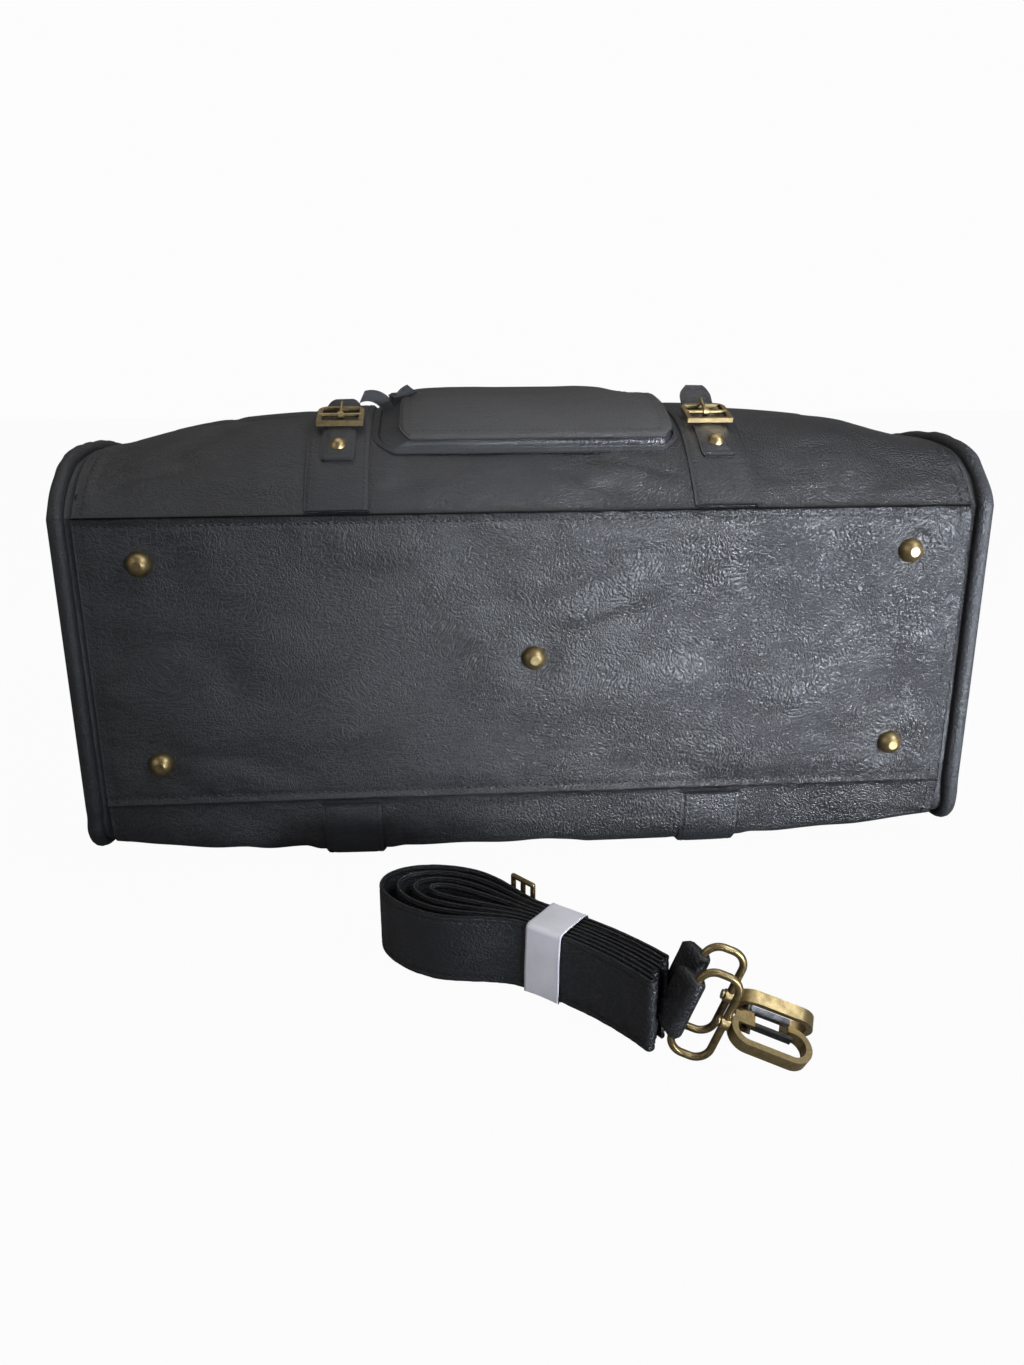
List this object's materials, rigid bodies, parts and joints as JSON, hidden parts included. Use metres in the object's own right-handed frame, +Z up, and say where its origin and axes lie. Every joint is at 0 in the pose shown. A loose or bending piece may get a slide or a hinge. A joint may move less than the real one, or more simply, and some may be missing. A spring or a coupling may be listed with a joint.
{
  "type": "diaper bag",
  "caption": "Weekender-style diaper bag lying on its back with dome feet, zip top, pockets, buckled straps, handles and a folded shoulder strap.",
  "frame": {"origin": "centre of the flat tip of the middle base foot, which is where the bag stands when upright", "axes": "+X along the bag, +Y from the base to the zip, +Z up as the bag lies on its back"},
  "size_m": [0.5538, 0.5959, 0.2816],
  "materials": {
    "leather": "crackled faux leather, semi-gloss",
    "leather_trim": "edge-stitched faux leather strap",
    "brass": "satin antique brass",
    "dark_metal": "darkened spring gate",
    "zip_tape": "woven black zip tape with coil teeth",
    "lining": "plain-woven lining cloth",
    "board": "stiffening board",
    "paper": "plain white paper band"
  },
  "bodies": {
    "bag": {"base_panel": "leather", "base_board": "board", "feet": "brass", "foot_washers": "brass", "front_panel": "leather", "back_panel": "leather", "end_panel_left": "leather", "end_panel_right": "leather", "piping_left": "leather_trim", "piping_right": "leather_trim", "lining": "lining", "lining_ends": "lining", "top_end_left": "leather_trim", "top_end_right": "leather_trim", "zip_tab_left": "leather_trim", "zip_tab_right": "leather_trim", "zip_end_tapes": "zip_tape", "strap_front_left": "leather_trim", "strap_front_right": "leather_trim", "strap_back_left": "leather_trim", "strap_back_right": "leather_trim", "buckle_tab_left": "leather_trim", "buckle_tab_right": "leather_trim", "buckle_left": "brass", "buckle_right": "brass", "tab_rivets": "brass", "pocket_face": "leather", "pocket_gusset": "leather_trim", "pocket_zip_tapes": "zip_tape", "pocket_tape_tails": "zip_tape", "ring_loops_front": "leather_trim", "ring_loops_back": "leather_trim", "end_pocket_left": "leather", "end_pocket_right": "leather", "dee_tabs": "leather_trim"},
    "lip_front": {"lip_front": "leather", "zip_tape_front": "zip_tape"},
    "lip_back": {"lip_back": "leather", "zip_tape_back": "zip_tape"},
    "zip_slider": {"zip_slider": "brass"},
    "zip_puller": {"zip_puller": "brass"},
    "pocket_slider": {"pocket_slider": "brass"},
    "handle_front": {"handle_front": "leather_trim", "handle_rings_front": "brass"},
    "handle_back": {"handle_back": "leather_trim", "handle_rings_back": "brass"},
    "dee_left": {"dee_ring_left": "brass"},
    "dee_right": {"dee_ring_right": "brass"},
    "prong_left": {"prong_left": "brass"},
    "prong_right": {"prong_right": "brass"},
    "shoulder_strap": {"shoulder_strap": "leather_trim", "paper_band": "paper", "strap_adjuster": "brass", "strap_ends": "leather_trim"},
    "ring_a": {"oval_ring_a": "brass"},
    "ring_b": {"oval_ring_b": "brass"},
    "hook_a": {"hook_a": "brass"},
    "hook_b": {"hook_b": "brass"},
    "gate_a": {"gate_a": "dark_metal"},
    "gate_b": {"gate_b": "dark_metal"}
  },
  "joints": [
    {"name": "lip_front_open", "type": "hinge", "parent": "bag", "child": "lip_front", "pos_m": [0, 0.276, 0.065], "axis": [1, 0, 0], "range_deg": [0, 85]},
    {"name": "lip_back_open", "type": "hinge", "parent": "bag", "child": "lip_back", "pos_m": [0, 0.276, -0.065], "axis": [-1, 0, 0], "range_deg": [0, 85]},
    {"name": "zip_run", "type": "slide", "parent": "bag", "child": "zip_slider", "axis": [1, 0, 0], "range_m": [-0.419, 0]},
    {"name": "zip_pull_flip", "type": "hinge", "parent": "zip_slider", "child": "zip_puller", "pos_m": [0.2095, 0.2986, 0], "axis": [0, 0, 1], "range_deg": [0, 150]},
    {"name": "pocket_zip_run", "type": "slide", "parent": "bag", "child": "pocket_slider", "axis": [1, 0, 0], "range_m": [-0.1424, 0]},
    {"name": "handle_front_swing", "type": "hinge", "parent": "bag", "child": "handle_front", "pos_m": [0, 0.25186, 0.08142], "axis": [1, 0, 0], "range_deg": [-20, 120]},
    {"name": "handle_back_swing", "type": "hinge", "parent": "bag", "child": "handle_back", "pos_m": [0, 0.25234, -0.08533], "axis": [-1, 0, 0], "range_deg": [-18, 0]},
    {"name": "dee_left_swing", "type": "hinge", "parent": "bag", "child": "dee_left", "pos_m": [-0.26225, 0.262, 0], "axis": [0, 0, 1], "range_deg": [-10, 75]},
    {"name": "dee_right_swing", "type": "hinge", "parent": "bag", "child": "dee_right", "pos_m": [0.26225, 0.262, 0], "axis": [0, 0, 1], "range_deg": [-75, 10]},
    {"name": "prong_left_lift", "type": "hinge", "parent": "bag", "child": "prong_left", "pos_m": [-0.105, 0.06412, 0.12907], "axis": [1, 0, 0], "range_deg": [0, 70]},
    {"name": "prong_right_lift", "type": "hinge", "parent": "bag", "child": "prong_right", "pos_m": [0.105, 0.06412, 0.12907], "axis": [1, 0, 0], "range_deg": [0, 70]},
    {"name": "strap_lift", "type": "slide", "parent": "bag", "child": "shoulder_strap", "axis": [0, 0, 1], "range_m": [0, 0.25]},
    {"name": "ring_a_swing", "type": "hinge", "parent": "shoulder_strap", "child": "ring_a", "pos_m": [0.047, -0.1811, -0.0995], "axis": [0.3345, -0.0711, 0.9397], "range_deg": [-25, 0]},
    {"name": "ring_b_swing", "type": "hinge", "parent": "shoulder_strap", "child": "ring_b", "pos_m": [0.052, -0.1685, -0.0955], "axis": [0.3357, -0.0653, 0.9397], "range_deg": [0, 25]},
    {"name": "hook_a_swivel", "type": "hinge", "parent": "ring_a", "child": "hook_a", "pos_m": [0.06318, -0.18454, -0.10552], "axis": [0.9192, -0.1954, -0.342], "continuous": true},
    {"name": "hook_b_swivel", "type": "hinge", "parent": "ring_b", "child": "hook_b", "pos_m": [0.06824, -0.17166, -0.10152], "axis": [0.9224, -0.1793, -0.342], "range_deg": [-15, 12]},
    {"name": "gate_a_open", "type": "hinge", "parent": "hook_a", "child": "gate_a", "pos_m": [0.07449, -0.18305, -0.10812], "axis": [0.2539, -0.3699, 0.8937], "range_deg": [-15, 0], "stiffness_Nm_per_rad": 0.02, "springref_deg": 11.46},
    {"name": "gate_b_open", "type": "hinge", "parent": "hook_b", "child": "gate_b", "pos_m": [0.0776, -0.17144, -0.10854], "axis": [0.3331, 0.8175, 0.4698], "range_deg": [-15, 0], "stiffness_Nm_per_rad": 0.02, "springref_deg": 11.46}
  ]
}
